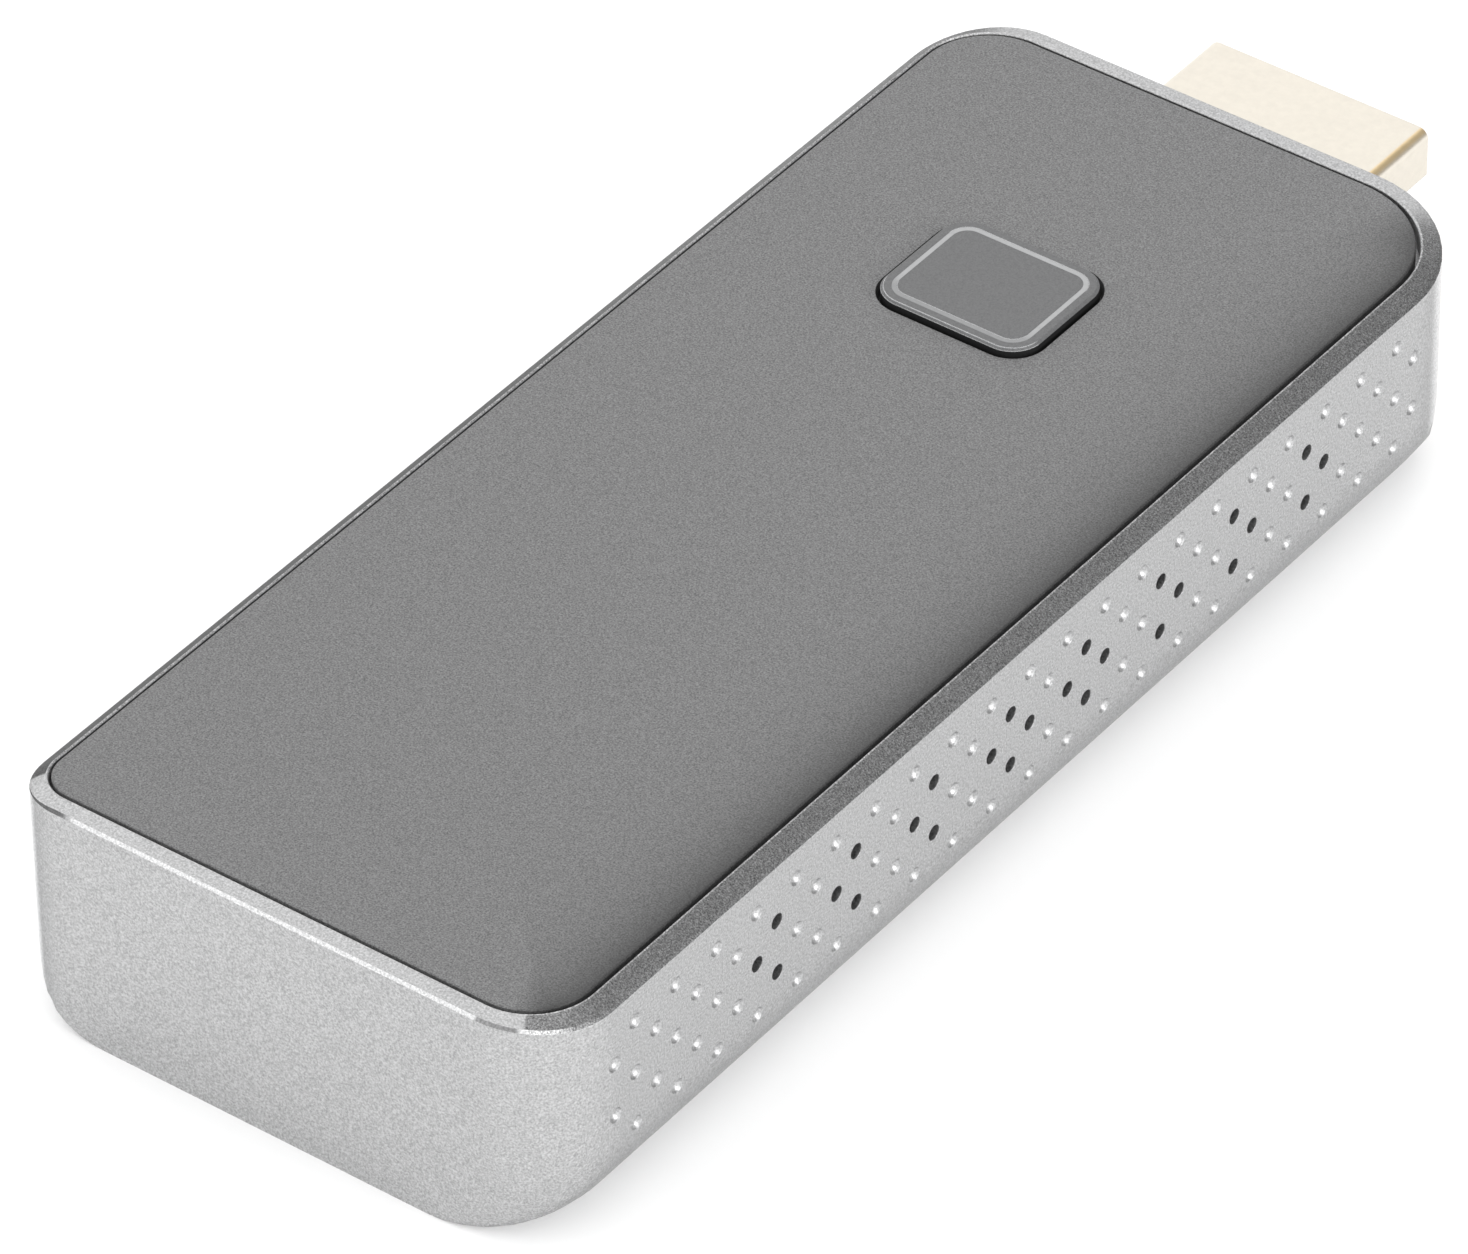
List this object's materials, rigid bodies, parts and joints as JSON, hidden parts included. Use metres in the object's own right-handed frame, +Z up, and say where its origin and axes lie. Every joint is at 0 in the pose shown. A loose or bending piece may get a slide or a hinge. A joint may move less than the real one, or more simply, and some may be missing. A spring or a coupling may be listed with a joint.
{
  "type": "wireless presentation dongle",
  "caption": "Slim silver housing with a dark glued top plate, lit push button, vented side walls, video plug on one end and power socket in one side, with its circuit board inside.",
  "frame": {"origin": "middle of the flat underside of the housing, under the middle of its length and width", "axes": "+Y runs along the housing towards the plug, +X across it towards the long wall with the vents that the picture shows, +Z up from the underside to the top plate"},
  "size_m": [0.0332, 0.0907, 0.0145],
  "materials": {
    "housing_silver": "fine sand-blasted silver",
    "plate_grey": "satin dark grey with a fine speckle",
    "tape_black": "matt",
    "cap_grey": "satin with a glossy edge",
    "ring_light": "milky, lit from below",
    "black_plastic": "moulded",
    "plunger_red": "moulded",
    "tinned_metal": "tin plated",
    "lamp_clear": "clear resin",
    "board_green": "solder resist",
    "screw_steel": "zinc plated",
    "plug_gold": "pale gold plating, satin",
    "pin_gold": "gold plated",
    "socket_steel": "nickel plated",
    "chip_black": "moulded resin",
    "pad_blue": "soft silicone",
    "sink_black": "black anodised",
    "wifi_blue": "solder resist",
    "shield_tin": "tin plated",
    "lead_black": "smooth jacket",
    "aerial_amber": "flexible film over copper",
    "ferrite_grey": "pressed ferrite",
    "chip_tan": "fired ceramic"
  },
  "bodies": {
    "housing": {"housing_shell": "housing_silver", "top_plate": "plate_grey", "plate_tape": "tape_black", "button_guide": "black_plastic", "switch_body": "black_plastic", "switch_legs": "tinned_metal", "button_leds": "lamp_clear", "main_board": "board_green", "board_screws": "screw_steel", "plug_shell": "plug_gold", "plug_insulator": "black_plastic", "plug_pins_upper": "pin_gold", "plug_pins_lower": "pin_gold", "plug_filters": "chip_black", "socket_shell": "socket_steel", "socket_tongue": "black_plastic", "socket_pads": "pin_gold", "processor": "chip_black", "processor_pad": "pad_blue", "heat_sink": "sink_black", "memory_chips": "chip_black", "flash_chip": "chip_black", "wifi_board": "wifi_blue", "wifi_shield": "shield_tin", "aerial_jacks": "pin_gold", "aerial_plugs": "tinned_metal", "aerial_leads": "lead_black", "aerials": "aerial_amber", "power_chip": "chip_black", "inductors": "ferrite_grey", "crystal": "shield_tin", "capacitors": "chip_tan", "resistors": "chip_black"},
    "button": {"button_cap": "cap_grey", "button_light_ring": "ring_light"},
    "plunger": {"switch_plunger": "plunger_red"}
  },
  "joints": [
    {"name": "button_press", "type": "slide", "parent": "housing", "child": "button", "axis": [0, 0, -1], "range_m": [0, 0.00025], "stiffness_N_per_m": 600},
    {"name": "switch_press", "type": "slide", "parent": "housing", "child": "plunger", "axis": [0, 0, -1], "range_m": [0, 0.00025]}
  ],
  "couplings": [
    {"joint": "switch_press", "follows": "button_press", "ratio": 1}
  ]
}
